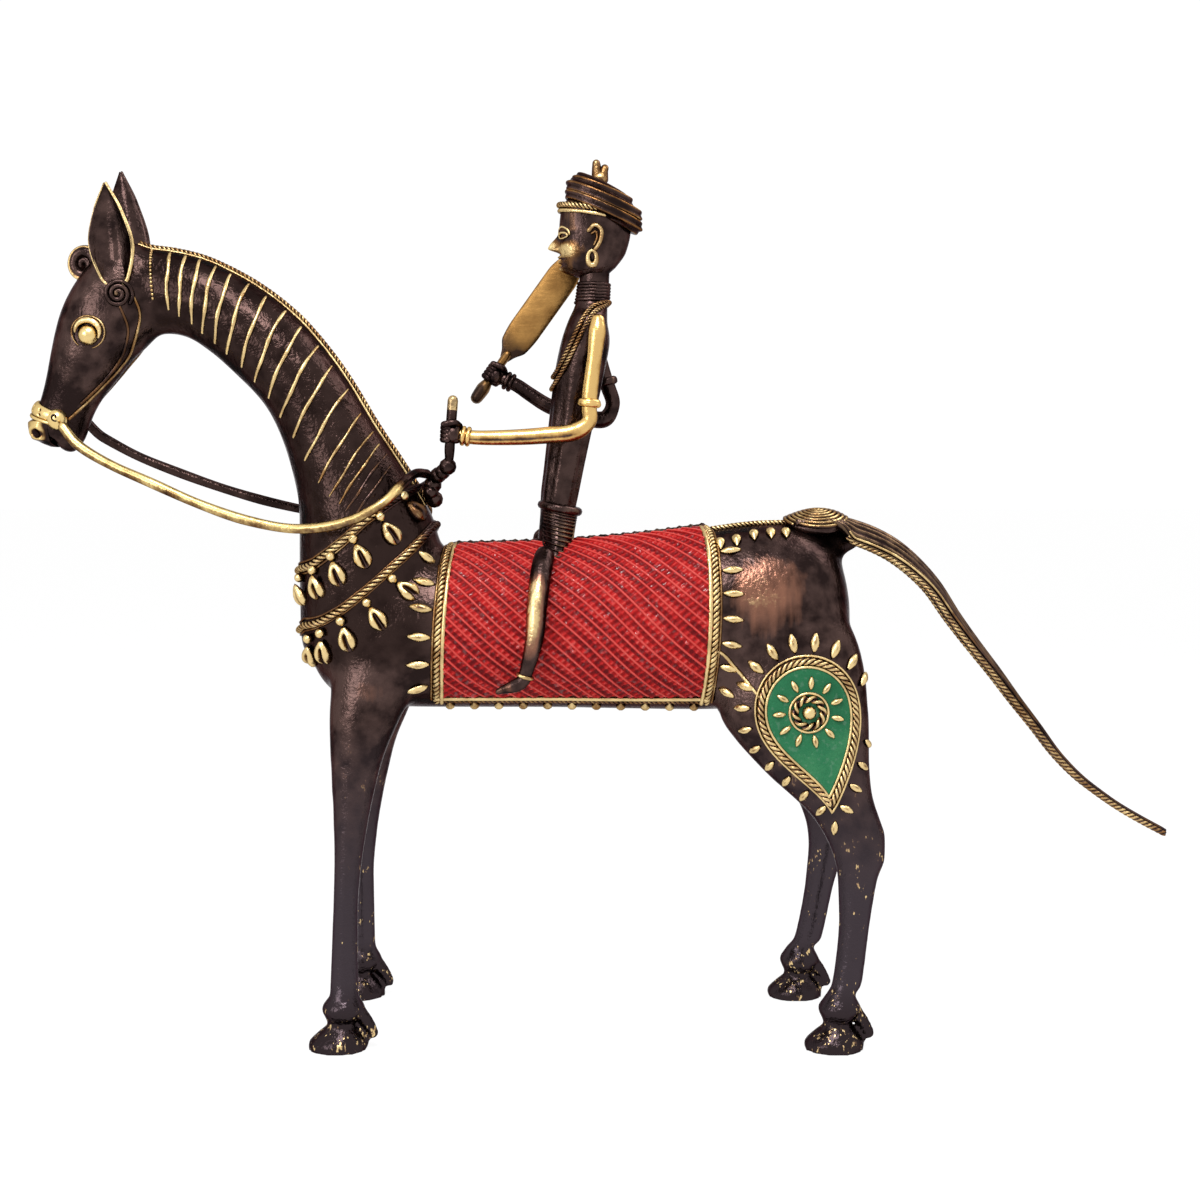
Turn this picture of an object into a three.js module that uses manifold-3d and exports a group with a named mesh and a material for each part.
// Horse and rider, a folk ornament of lost-wax brass: a hollow horse cast over a clay core, dressed
// with rope wires, cowrie collars, a lattice saddle cloth and enamelled haunch plaques, and a thin
// rider who holds the reins and a sword.
// Millimetres, +Z up. The horse faces -X and its left side is -Y. The origin is on the floor under
// the middle of the figure, in its plane of symmetry.
import * as THREE from "three";
import { mergeVertices } from "three/addons/utils/BufferGeometryUtils.js";
import Module from "manifold-3d";

const wasm = await Module();
wasm.setup();

// Driving dimensions of the horse
const backHeight = 145;
const barrelDepth = 48.5;
const barrelWidth = 45;
const chestX = -87;
const rumpX = 75;
const castingWall = 3;
const neckWall = 2.6;
const brazeGap = 0.3;
const footSpread = 54;
const foreFootX = -76.2;
const hindFootX = 68.2;
const rightHindStride = -6;
const rightForeStride = -1.4;
const hoofHeight = 6.5;
const hoofLength = 17.6;
const hoofWidth = 16;
const fetlockHeight = 6;
const shankWidth = 8.2;
const spurLength = 6.5;

// Driving dimensions of the head and its harness
const earLength = 30;
const earWidth = 12.5;
const earThickness = 1.6;
const earCoilDiameter = 6.4;
const eyeDiameter = 6;
const eyeHeight = 2.2;
const forelockWire = 4;
const nosebandWidth = 4.2;
const nosebandThickness = 1.3;
const cheekBossDiameter = 6;
const reinDiameter = 2.9;
const leadDiameter = 2.8;
const leadKnotDiameter = 4.4;
const leadKnots = 4;

// Driving dimensions of the trim
const ropeDiameter = 2.4;
const crestRopeDiameter = 2.2;
const maneBarRelief = 0.7;
const maneBars = 15;
const pendantsEachSide = 5;
const pendantBeadDiameter = 3;
const cowrieLength = 7;
const cowrieWidth = 4.8;
const saddleFrontX = -44.5;
const saddleFrontRake = 3.6;
const saddleRearX = 31.5;
const saddleRearBow = 2;
const saddleThickness = 1.3;
const latticeRelief = 0.6;
const hemAngle = THREE.MathUtils.degToRad(149);
const spineRidgeWidth = 1.6;
const leafLength = 5.2;
const leafWidth = 2.6;
const leafThickness = 1.7;
const frontLeaves = 7;
const rearLeaves = 8;
const hemDrops = 11;
const plaqueRadius = 13;
const plaqueTip = 33;
const plaqueThickness = 1.2;
const plaqueLeaves = 22;
const sunBossDiameter = 5;
const sunRingDiameter = 11.5;
const sunRays = 12;

// Driving dimensions of the tail
const tailRootWidth = 21;
const tailTipWidth = 4;
const tailThickness = 2.4;
const tailRopeDiameter = 1.8;
const tailCoilDiameter = 19.5;
const coilWire = 0.8;
const coilPitch = 1.3;

// Driving dimensions of the rider
const riderX = -12.6;
const torsoHeight = 71;
const thighDiameter = 6.4;
const ankleDiameter = 4.4;
const windingWire = 0.9;
const windingTurns = 7;
const windingHeight = 9.9;
const collarTurns = 4;
const collarPitch = 1.35;
const upperArmDiameter = 6.4;
const forearmDiameter = 4.7;
const ringWire = 1.8;
const fistDiameter = 6;
const shoulderHalf = 10.3;
const garlandWire = 1.8;
const bladeLength = 36;
const bladeWidth = 9.6;
const bladeThickness = 1.7;
const gripDiameter = 2.4;
const turbanRoll = 4.2;
const earringWire = 1.1;

// Facets
const roundSides = 16;
const wireSides = 5;
const ropeSides = 4;
const coilSides = 4;
const coilSteps = 11;

const left = -1;
const right = 1;
const sides = [
  { side: left, word: "left" },
  { side: right, word: "right" },
];
const halfTurn = Math.PI;
const fullTurn = 2 * Math.PI;
const barrelAxis = backHeight - barrelDepth / 2;
const bellyHeight = backHeight - barrelDepth;

const vec = (x, y, z) => new THREE.Vector3(x, y, z);
const lerp = THREE.MathUtils.lerp;
const spread = (count) => Array.from({ length: count }, (_, i) => i);
const shares = (count) => spread(count + 1).map((i) => i / count);

// Closed bodies from rings of points: the sides join each ring to the next, and each end is a flat
// cap. The body is turned the right way round by the sign of its volume.
function capTriangles(ring) {
  const centre = ring.reduce((sum, p) => sum.add(p), vec(0, 0, 0)).divideScalar(ring.length);
  const normal = vec(0, 0, 0);
  ring.forEach((p, i) => {
    const next = ring[(i + 1) % ring.length];
    normal.add(p.clone().sub(centre).cross(next.clone().sub(centre)));
  });
  const turn = new THREE.Quaternion().setFromUnitVectors(normal.normalize(), vec(0, 0, 1));
  const flat = ring.map((p) => {
    const q = p.clone().sub(centre).applyQuaternion(turn);
    return new THREE.Vector2(q.x, q.y);
  });
  const faces = THREE.ShapeUtils.triangulateShape(flat, []);
  const turned = faces.map(([a, b, c]) => {
    const area = flat[b].clone().sub(flat[a]).cross(flat[c].clone().sub(flat[a]));
    return area < 0 ? [a, c, b] : [a, b, c];
  });
  return turned;
}

function bodyFrom(points, triangles) {
  let volume = 0;
  for (const [a, b, c] of triangles) {
    volume += points[a].dot(points[b].clone().cross(points[c]));
  }
  const index = triangles.flatMap(([a, b, c]) => (volume < 0 ? [a, c, b] : [a, b, c]));
  const geometry = new THREE.BufferGeometry();
  geometry.setAttribute(
    "position",
    new THREE.Float32BufferAttribute(points.flatMap((p) => [p.x, p.y, p.z]), 3),
  );
  geometry.setIndex(index);
  return geometry;
}

function loft(rings, { closed = false } = {}) {
  const count = rings[0].length;
  const points = rings.flat();
  const triangles = [];
  const steps = closed ? rings.length : rings.length - 1;
  for (let i = 0; i < steps; i += 1) {
    const here = i * count;
    const next = ((i + 1) % rings.length) * count;
    for (let j = 0; j < count; j += 1) {
      const k = (j + 1) % count;
      triangles.push([here + j, here + k, next + k], [here + j, next + k, next + j]);
    }
  }
  if (!closed) {
    const lastRing = (rings.length - 1) * count;
    capTriangles(rings[0]).forEach(([a, b, c]) => triangles.push([a, c, b]));
    capTriangles(rings.at(-1)).forEach(([a, b, c]) => {
      triangles.push([lastRing + a, lastRing + b, lastRing + c]);
    });
  }
  return bodyFrom(points, triangles);
}

// A round wire along points, with frames that turn as little as the path lets them. The radius may
// change from point to point.
function wire(points, radiusAt, { closed = false, count = wireSides } = {}) {
  const last = points.length - 1;
  const tangents = points.map((p, i) => {
    const before = points[i === 0 ? (closed ? last : 0) : i - 1];
    const after = points[i === last ? (closed ? 0 : last) : i + 1];
    return after.clone().sub(before).normalize();
  });
  let normal = vec(0, 1, 0).cross(tangents[0]);
  if (normal.length() < 0.2) normal = vec(0, 0, 1).cross(tangents[0]);
  normal.normalize();
  const radius = typeof radiusAt === "function" ? radiusAt : () => radiusAt;
  const rings = points.map((p, i) => {
    normal.sub(tangents[i].clone().multiplyScalar(normal.dot(tangents[i]))).normalize();
    const across = tangents[i].clone().cross(normal);
    return spread(count).map((k) => {
      const angle = (fullTurn * k) / count;
      const out = normal.clone().multiplyScalar(Math.cos(angle));
      out.add(across.clone().multiplyScalar(Math.sin(angle)));
      return p.clone().add(out.multiplyScalar(radius(i / last)));
    });
  });
  return loft(rings, { closed });
}

function curvePoints(points, steps, closed = false) {
  const curve = new THREE.CatmullRomCurve3(points, closed, "centripetal");
  const made = curve.getSpacedPoints(steps);
  return closed ? made.slice(0, -1) : made;
}

// Joins and cuts
function solid(geometry) {
  const bare = geometry.clone();
  bare.deleteAttribute("normal");
  bare.deleteAttribute("uv");
  const merged = mergeVertices(bare, 1e-4);
  return new wasm.Manifold(
    new wasm.Mesh({
      numProp: 3,
      vertProperties: new Float32Array(merged.attributes.position.array),
      triVerts: new Uint32Array(merged.index.array),
    }),
  );
}

function geometryOf(body) {
  const made = body.getMesh();
  const geometry = new THREE.BufferGeometry();
  const points = new Float32Array(made.numVert * 3);
  for (let i = 0; i < made.numVert; i += 1) {
    points.set(made.vertProperties.subarray(i * made.numProp, i * made.numProp + 3), i * 3);
  }
  geometry.setAttribute("position", new THREE.BufferAttribute(points, 3));
  geometry.setIndex(new THREE.BufferAttribute(new Uint32Array(made.triVerts), 1));
  return geometry;
}

const join = (first, ...rest) =>
  geometryOf(rest.reduce((body, other) => body.add(solid(other)), solid(first)));
const cut = (first, ...rest) =>
  geometryOf(rest.reduce((body, other) => body.subtract(solid(other)), solid(first)));

// A monotone cubic through knots, which never overshoots them.
function smooth(knots, values) {
  const last = knots.length - 1;
  const slope = (i) => (values[i + 1] - values[i]) / (knots[i + 1] - knots[i]);
  const tangents = values.map((_, i) => {
    if (i === 0) return slope(0);
    if (i === last) return slope(last - 1);
    const before = slope(i - 1);
    const after = slope(i);
    return before * after <= 0 ? 0 : (2 * before * after) / (before + after);
  });
  return (t) => {
    let i = 0;
    while (i < last - 1 && t > knots[i + 1]) i += 1;
    const width = knots[i + 1] - knots[i];
    const s = (t - knots[i]) / width;
    const rise = values[i + 1] - values[i];
    const early = (tangents[i] * width - rise) * (1 - s);
    const late = (rise - tangents[i + 1] * width) * s;
    return values[i] + rise * s + s * (1 - s) * (early + late);
  };
}

// A limb is a row of elliptical sections. Each section is drawn on the side view as the line from
// its front point to its back point, and has its own middle across the figure and its half width.
class Limb {
  constructor(stations) {
    const field = (pick) => smooth(spread(stations.length), stations.map(pick));
    this.last = stations.length - 1;
    this.frontX = field((s) => s.front[0]);
    this.frontZ = field((s) => s.front[1]);
    this.backX = field((s) => s.back[0]);
    this.backZ = field((s) => s.back[1]);
    this.middle = field((s) => s.y ?? 0);
    this.half = field((s) => s.half);
  }

  section(t) {
    const front = vec(this.frontX(t), this.middle(t), this.frontZ(t));
    const back = vec(this.backX(t), this.middle(t), this.backZ(t));
    const reach = front.distanceTo(back) / 2;
    const along = front.clone().sub(back).divideScalar(2 * reach);
    const centre = front.clone().add(back).divideScalar(2);
    return { centre, along, reach, half: this.half(t) };
  }

  // The point at an angle round the section, 0 at the front and a half turn at the back, with the
  // surface grown outwards.
  point(t, angle, grow = 0) {
    const { centre, along, reach, half } = this.section(t);
    const reachOut = (reach + grow) * Math.cos(angle);
    const out = along.multiplyScalar(reachOut);
    return centre.add(out).add(vec(0, (half + grow) * Math.sin(angle), 0));
  }

  // The point a set height off the surface, along the surface's own slope in the section.
  above(t, angle, height) {
    const { centre, along, reach, half } = this.section(t);
    const face = along.clone().multiplyScalar(Math.cos(angle) / reach);
    face.add(vec(0, Math.sin(angle) / half, 0)).normalize();
    const at = along.multiplyScalar(reach * Math.cos(angle));
    return centre.add(at).add(vec(0, half * Math.sin(angle), 0)).add(face.multiplyScalar(height));
  }

  ring(t, grow = 0, count = roundSides) {
    return spread(count).map((k) => this.point(t, (fullTurn * k) / count, grow));
  }

  body(steps, grow = 0, { from = 0, to = this.last, count = roundSides } = {}) {
    return loft(steps.map((s) => this.ring(lerp(from, to, s), grow, count)));
  }

  // The parameter and angle of the surface point seen at x, z from the side, on the side given.
  locate(x, z, side) {
    let low = 0;
    let high = this.last;
    const beside = (t) => {
      const { centre, along } = this.section(t);
      return along.x * (z - centre.z) - along.z * (x - centre.x);
    };
    const start = Math.sign(beside(low));
    for (let i = 0; i < 40; i += 1) {
      const mid = (low + high) / 2;
      if (Math.sign(beside(mid)) === start) low = mid;
      else high = mid;
    }
    const { centre, along, reach } = this.section(low);
    const forward = ((x - centre.x) * along.x + (z - centre.z) * along.z) / reach;
    return { t: low, angle: side * Math.acos(THREE.MathUtils.clamp(forward, -1, 1)) };
  }

  // The parameter at which a rising or falling reading of the section meets a value.
  find(reading, value) {
    let low = 0;
    let high = this.last;
    const rising = reading(this.section(high)) > reading(this.section(low));
    for (let i = 0; i < 40; i += 1) {
      const mid = (low + high) / 2;
      if (reading(this.section(mid)) < value === rising) low = mid;
      else high = mid;
    }
    return (low + high) / 2;
  }
}

// The trunk, from chest to rump: how far along, and the rise over the axis, the drop under it and
// the half width as shares of the barrel's half depth and half width
const trunkShape = [
  { along: 0, rise: 0.05, drop: 0.3, half: 0.22 },
  { along: 0.015, rise: 0.42, drop: 0.6, half: 0.53 },
  { along: 0.055, rise: 0.8, drop: 0.86, half: 0.78 },
  { along: 0.13, rise: 0.96, drop: 0.98, half: 0.93 },
  { along: 0.25, rise: 0.97, drop: 1, half: 0.985 },
  { along: 0.42, rise: 1, drop: 1, half: 1 },
  { along: 0.59, rise: 1.08, drop: 1.02, half: 1 },
  { along: 0.725, rise: 1.19, drop: 1.03, half: 1.01 },
  { along: 0.835, rise: 1.28, drop: 0.98, half: 1 },
  { along: 0.91, rise: 1.24, drop: 0.82, half: 0.91 },
  { along: 0.96, rise: 1.08, drop: 0.57, half: 0.73 },
  { along: 0.988, rise: 0.72, drop: 0.32, half: 0.47 },
  { along: 1, rise: 0.34, drop: 0.07, half: 0.18 },
];
const trunk = new Limb(
  trunkShape.map(({ along, rise, drop, half }) => {
    const x = lerp(chestX, rumpX, along);
    return {
      front: [x, barrelAxis + (rise * barrelDepth) / 2],
      back: [x, barrelAxis - (drop * barrelDepth) / 2],
      half: (half * barrelWidth) / 2,
    };
  }),
);
const trunkAt = (x) => trunk.find((section) => section.centre.x, x);
const trunkTop = (x) => trunk.point(trunkAt(x), 0).z;

// How far the trunk's side stands from the plane of symmetry
function trunkSide(x, z) {
  const { centre, reach, half } = trunk.section(trunkAt(x));
  const height = (z - centre.z) / reach;
  return Math.abs(height) < 1 ? half * Math.sqrt(1 - height * height) : 0;
}

// The neck, from inside the head down into the chest: crest and throat in the side view, measured
// from the top of the back, and the half width
const neckShape = [
  { front: [-146, 87], back: [-140, 71], half: 6 },
  { front: [-133, 87.5], back: [-130.5, 63.3], half: 8.5 },
  { front: [-120.4, 85.3], back: [-124, 62.5], half: 10 },
  { front: [-107.2, 79.7], back: [-117, 58.4], half: 11.2 },
  { front: [-91.6, 69.3], back: [-109, 51.5], half: 12.5 },
  { front: [-77.6, 54.1], back: [-98.9, 40.4], half: 13.8 },
  { front: [-66, 35.2], back: [-92.6, 24.5], half: 15.5 },
  { front: [-60, 26.2], back: [-90, 10], half: 17.5 },
  { front: [-54.6, 17.6], back: [-90.2, -6], half: 19.5 },
  { front: [-48.5, 4.5], back: [-90, 19.5 - barrelDepth], half: 21 },
  { front: [-47, 36 - barrelDepth], back: [-76, 7 - barrelDepth], half: 15 },
];
const raised = (shape, height) =>
  shape.map(({ front, back, half }) => ({
    front: [front[0], front[1] + height],
    back: [back[0], back[1] + height],
    half,
  }));
const neck = new Limb(raised(neckShape, backHeight));
const upperCollarAt = 8;
const lowerCollarAt = 9;

// The head, from poll to chin, measured the same way
const headShape = [
  { front: [-146, 90.5], back: [-136, 90.5], half: 5.5 },
  { front: [-150.5, 85.5], back: [-132.5, 84.5], half: 8.3 },
  { front: [-157, 77], back: [-130.8, 74.5], half: 10.6 },
  { front: [-161, 68.5], back: [-131.5, 63.5], half: 11.5 },
  { front: [-163.5, 58.5], back: [-139, 55.5], half: 10.5 },
  { front: [-165.4, 49.5], back: [-144.5, 48.5], half: 9 },
  { front: [-167.6, 42.5], back: [-149.5, 42], half: 7.8 },
  { front: [-169.8, 36.5], back: [-152, 36.5], half: 7.5 },
  { front: [-168.6, 32], back: [-153.5, 31], half: 6.3 },
  { front: [-162.5, 29], back: [-157, 28.8], half: 3 },
];
const head = new Limb(raised(headShape, backHeight));
const nosebandAt = 6.35;
const headSides = 12;
const headSteps = shares(12);
const headSeat = () => head.body(headSteps, brazeGap, { count: headSides });

// A leg, from the sole up into the trunk. The foot's own sizes set its sections; above the fetlock
// the front and back are measured from the middle of the foot. Heights from the hock up keep their
// distance from the belly, and the shank takes up the rest.
const legSpan = 96.5;
const hockShare = 0.63;
const hockHeight = bellyHeight - (1 - hockShare) * legSpan;
const legHeight = (up) =>
  up < hockShare ? (up / hockShare) * hockHeight : bellyHeight - (1 - up) * legSpan;
function legStations(shape, { footX, side, stride = 0 }) {
  const footY = (side * footSpread) / 2;
  const soleRise = 1.2;
  const pastern = hoofHeight + fetlockHeight / 2;
  const ankle = hoofHeight + fetlockHeight;
  const round = (z, length, width, lean = 0) => ({
    front: [footX + stride + lean - length / 2, z],
    back: [footX + stride + lean + length / 2, z],
    y: footY,
    half: width / 2,
  });
  const foot = [
    round(0, hoofLength, hoofWidth),
    round(soleRise, hoofLength, hoofWidth),
    round(hoofHeight * 0.62, hoofLength * 0.82, hoofWidth * 0.84, 0.6),
    round(hoofHeight, shankWidth * 1.12, shankWidth * 1.1, 1.2),
    round(pastern, shankWidth * 1.42, shankWidth * 1.36, 1.4),
    round(ankle, shankWidth * 1.04, shankWidth, 1.8),
  ];
  const shaft = shape.map(({ up, front, back, y, half }) => {
    const z = legHeight(up);
    const follow = stride * Math.max(0, 1 - (up / 0.8) ** 2);
    return {
      front: [footX + front + follow, z],
      back: [footX + back + follow, z],
      y: side * y * (footSpread / 54),
      half,
    };
  });
  return [...foot, ...shaft];
}
const foreShape = [
  { up: 0.19, front: -2.4, back: 5.8, y: 26, half: 4.1 },
  { up: 0.41, front: -1.7, back: 5.6, y: 23.4, half: 4.2 },
  { up: 0.555, front: -1.5, back: 6.6, y: 21.4, half: 4.6 },
  { up: 0.7, front: -2, back: 8.8, y: 19, half: 5.6 },
  { up: 0.785, front: -2.9, back: 10.8, y: 17.4, half: 6.7 },
  { up: 0.875, front: -3.5, back: 13.2, y: 15.8, half: 7.8 },
  { up: 0.995, front: -4, back: 18.2, y: 14.2, half: 9 },
  { up: 1.12, front: -2.6, back: 23, y: 12.6, half: 9 },
  { up: 1.24, front: 4, back: 22, y: 11, half: 7 },
];
const hindShape = [
  { up: 0.19, front: -0.8, back: 7.8, y: 26.2, half: 4.2 },
  { up: 0.385, front: 1.5, back: 10.6, y: 24, half: 4.6 },
  { up: 0.51, front: 1.2, back: 12.9, y: 22.4, half: 5.4 },
  { up: 0.57, front: 0.1, back: 15, y: 21.6, half: 6 },
  { up: 0.63, front: -2.2, back: 15.2, y: 20.6, half: 6.6 },
  { up: 0.69, front: -5.9, back: 13.6, y: 19.6, half: 7.3 },
  { up: 0.75, front: -11.9, back: 12, y: 18.4, half: 8.2 },
  { up: 0.81, front: -18.9, back: 11.5, y: 17, half: 9 },
  { up: 0.87, front: -24.7, back: 11.4, y: 15.8, half: 9.8 },
  { up: 0.93, front: -29.7, back: 11.6, y: 14.8, half: 10.5 },
  { up: 1, front: -33.7, back: 11.4, y: 14, half: 11 },
  { up: 1.12, front: -31.7, back: 10.4, y: 13, half: 11.4 },
  { up: 1.24, front: -25.7, back: 7.5, y: 11.8, half: 10.6 },
  { up: 1.33, front: -17.7, back: 0.3, y: 10.5, half: 8 },
];
const legs = sides.flatMap(({ side, word }) => [
  {
    name: `${word}_fore_leg`,
    limb: new Limb(
      legStations(foreShape, {
        footX: foreFootX,
        side,
        stride: side === right ? rightForeStride : 0,
      }),
    ),
    footX: foreFootX + (side === right ? rightForeStride : 0),
    side,
    count: 9,
    shaftSteps: 8,
  },
  {
    name: `${word}_hind_leg`,
    limb: new Limb(
      legStations(hindShape, {
        footX: hindFootX,
        side,
        stride: side === right ? rightHindStride : 0,
      }),
    ),
    footX: hindFootX + (side === right ? rightHindStride : 0),
    side,
    count: 11,
    shaftSteps: 11,
  },
]);

// How far a leg's outer side stands from the plane of symmetry
function legSide(limb, x, z) {
  const { centre, reach, half } = limb.section(limb.find((section) => section.centre.z, z));
  const forward = (x - centre.x) / reach;
  if (Math.abs(forward) >= 1 || z > limb.section(limb.last).centre.z) return 0;
  return Math.abs(centre.y) + half * Math.sqrt(1 - forward * forward);
}
const haunch = legs[1].limb;
const flank = (x, z) => Math.max(trunkSide(x, z), legSide(haunch, x, z));

// Finishes
const finish = (color, roughness, metalness) =>
  new THREE.MeshStandardMaterial({ color, roughness, metalness });
const finishes = {
  patina: () => finish(0x3a2420, 0.42, 0.8),
  brass: () => finish(0xe2c274, 0.3, 1),
  satinBrass: () => finish(0xb98c4b, 0.45, 1),
  red: () => finish(0xc02329, 0.35, 0.1),
  green: () => finish(0x14693a, 0.3, 0.1),
  clay: () => finish(0x6b5a48, 0.95, 0),
};
const figure = new THREE.Group();
figure.name = "horse_and_rider";
const horse = new THREE.Group();
const rider = new THREE.Group();
figure.add(horse, rider);

function add(group, name, geometry, coat) {
  const mesh = new THREE.Mesh(geometry, finishes[coat]());
  mesh.name = name;
  group.add(mesh);
  return mesh;
}

// Trunk, neck, clay core and head. The core fills the hollow casting and runs up into the neck.
const trunkSteps = shares(16).map((s) => s + (Math.sin(fullTurn * 2 * s) * -0.5) / (fullTurn * 2));
const coreFrom = 0.035;
const coreTo = 0.965;
const neckCoreFrom = 2.2;
const neckCoreSteps = shares(7);

function innerTrunk(wall) {
  return trunk.body(shares(8), -wall, {
    from: trunkAt(lerp(chestX, rumpX, coreFrom)),
    to: trunkAt(lerp(chestX, rumpX, coreTo)),
    count: 9,
  });
}

function innerNeck(wall) {
  return neck.body(neckCoreSteps, -wall, { from: neckCoreFrom, count: 8 });
}

const maneFrom = 1.6;
const maneTo = 7.4;

// The neck's rings stand proud at each mane bar, and the bars die out down the neck's side.
function maneBarHeight(t, angle) {
  const place = ((t - maneFrom) / (maneTo - maneFrom)) * (maneBars - 1);
  const near = Math.abs(place - Math.round(place));
  const listed = place > -0.5 && place < maneBars - 0.5;
  const turn = Math.abs(angle > halfTurn ? fullTurn - angle : angle);
  const onSide = turn > 0.25 && turn < 1.5;
  return listed && onSide && near < 0.05 ? maneBarRelief : 0;
}

function neckBody() {
  const barGap = (maneTo - maneFrom) / (maneBars - 1);
  const stops = [0, 0.7, 1.2, maneFrom - barGap / 2];
  spread(maneBars).forEach((i) => {
    const at = maneFrom + barGap * i;
    stops.push(at, at + barGap / 2);
  });
  stops.push(upperCollarAt, 8.5, lowerCollarAt, 9.5, neck.last);
  const count = 12;
  return loft(
    stops.map((t) =>
      spread(count).map((k) => {
        const angle = (fullTurn * k) / count;
        return neck.point(t, angle, maneBarHeight(t, angle));
      }),
    ),
  );
}

function buildCasting() {
  const trunkBody = trunk.body(trunkSteps);
  add(horse, "horse_trunk", cut(trunkBody, innerTrunk(castingWall), innerNeck(neckWall)), "patina");
  add(
    horse,
    "clay_core",
    join(innerTrunk(castingWall + brazeGap), innerNeck(neckWall + brazeGap)),
    "clay",
  );
  const seatOnHead = headSeat();
  const seatOnTrunk = trunk.body(trunkSteps, brazeGap);
  add(horse, "horse_neck", cut(neckBody(), seatOnHead, seatOnTrunk, innerNeck(neckWall)), "patina");
  add(horse, "horse_head", head.body(headSteps, 0, { count: headSides }), "patina");
}

function buildLegs() {
  const seatOnTrunk = trunk.body(trunkSteps, brazeGap);
  for (const { name, limb, footX, side, count, shaftSteps } of legs) {
    const stops = [0, 1, 2, 3, 4, 5].map((t) => t / limb.last);
    const above = shares(shaftSteps).map((s) => lerp(6, limb.last, s) / limb.last);
    const body = limb.body([...stops, ...above], 0, { count });
    const spur = new THREE.SphereGeometry(spurLength / 2, 5, 4);
    spur.scale(0.62, 0.6, 1);
    spur.rotateY(-0.5);
    spur.translate(
      footX + shankWidth * 0.82,
      (side * footSpread) / 2,
      hoofHeight + fetlockHeight * 0.2,
    );
    add(horse, name, cut(join(body, spur), seatOnTrunk), "patina");
  }
}

// Where a part stands on a surface: its origin goes to the point, and its +Z to the way out.
function stand(geometry, at, out) {
  geometry.applyQuaternion(new THREE.Quaternion().setFromUnitVectors(vec(0, 0, 1), out));
  return geometry.translate(at.x, at.y, at.z);
}

// A low round boss on its flat seat
function boss(diameter, height) {
  const rim = spread(3).map((i) => {
    const turn = (halfTurn / 2) * (1 - i / 3);
    return new THREE.Vector2((Math.sin(turn) * diameter) / 2, Math.cos(turn) * height);
  });
  const profile = [new THREE.Vector2(0, 0), ...rim, new THREE.Vector2(0, height)];
  return new THREE.LatheGeometry(profile, 9).rotateX(halfTurn / 2);
}

// A leaf bead that points along one way and lies on a surface
function leaf(at, along, out, length = leafLength) {
  const bead = new THREE.OctahedronGeometry(1);
  bead.scale(length / 2, leafWidth / 2, leafThickness / 2);
  const forward = along.clone().sub(out.clone().multiplyScalar(along.dot(out))).normalize();
  const across = out.clone().cross(forward);
  bead.applyMatrix4(new THREE.Matrix4().makeBasis(forward, across, out));
  return bead.translate(at.x, at.y, at.z);
}

// Head fittings
const earBase = vec(-141.6, 8, backHeight + 76);
const earTip = vec(-143.6, 11, earBase.z + earLength);
const rightEarTip = vec(earTip.x + 0.8, earTip.y, earTip.z + 5.4);
const earCoilAt = { x: -140.6, z: backHeight + 74.2 };
const eyeAt = { x: -149.4, z: backHeight + 63.1 };

// The ear is a leaf rolled into a hollow that faces outwards.
function ear(side) {
  const tip = side === left ? earTip : rightEarTip;
  const width = smooth([0, 0.42, 0.75, 1], [0.5, 1, 0.62, 0.06]);
  const hollow = 0.3;
  const across = 4;
  const rings = shares(7).map((s) => {
    const half = (earWidth * width(s)) / 2;
    const middle = earBase.clone().lerp(tip, s);
    const face = (share, thick) => {
      const lift = -hollow * 2 * half * (1 - share * share) + thick;
      return vec(middle.x + share * half, side * (middle.y + lift), middle.z);
    };
    const lip = earThickness * Math.max(0.35, width(s));
    const span = shares(across).map((v) => 2 * v - 1);
    return [
      ...span.map((share) => face(share, 0)),
      ...span.reverse().map((share) => face(share, lip)),
    ];
  });
  return loft(rings);
}

function onHead({ x, z }, side, height) {
  const { t, angle } = head.locate(x, z, side);
  const at = head.above(t, angle, height);
  const out = head.above(t, angle, height + 1).sub(at).normalize();
  return { at, out };
}

function buildHead() {
  for (const { side, word } of sides) {
    const coil = onHead(earCoilAt, side, brazeGap);
    const eye = onHead(eyeAt, side, brazeGap);
    const coilHeight = 2;
    const coilSeat = stand(boss(earCoilDiameter + 2 * brazeGap, coilHeight + brazeGap), coil.at, coil.out);
    add(horse, `${word}_ear`, cut(ear(side), headSeat(), coilSeat), "patina");
    add(horse, `${word}_ear_coil`, stand(boss(earCoilDiameter, coilHeight), coil.at, coil.out), "patina");
    add(horse, `${word}_eye`, stand(boss(eyeDiameter, eyeHeight), eye.at, eye.out), "brass");
  }

  // The forelock is a scroll that leaves the poll and curls back to the forehead.
  const curl = spread(13).map((i) => {
    const turn = lerp(-0.15, 1.32, i / 12) * halfTurn;
    return vec(-153.6 + 3.3 * Math.cos(turn), 0, backHeight + 83.8 + 3.3 * Math.sin(turn));
  });
  const scroll = wire(curl, forelockWire / 2);
  scroll.scale(1, 1.5, 1);
  add(horse, "forelock", cut(scroll, headSeat()), "patina");

  // The noseband is a flat strap round the muzzle with a boss on each cheek.
  const reach = nosebandWidth / 13;
  const strap = spread(14).map((k) => {
    const angle = (fullTurn * k) / 14;
    const corner = (along, height) => head.above(nosebandAt + along * reach, angle, height);
    const top = brazeGap + nosebandThickness;
    return [corner(-1, brazeGap), corner(1, brazeGap), corner(1, top), corner(-1, top)];
  });
  const bosses = sides.map(({ side }) => {
    const at = head.above(nosebandAt, (side * halfTurn) / 2, brazeGap + cheekBossDiameter / 2);
    return new THREE.SphereGeometry(cheekBossDiameter / 2, 6, 4).translate(at.x, at.y, at.z);
  });
  add(horse, "noseband", join(loft(strap, { closed: true }), ...bosses), "brass");
}

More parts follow.
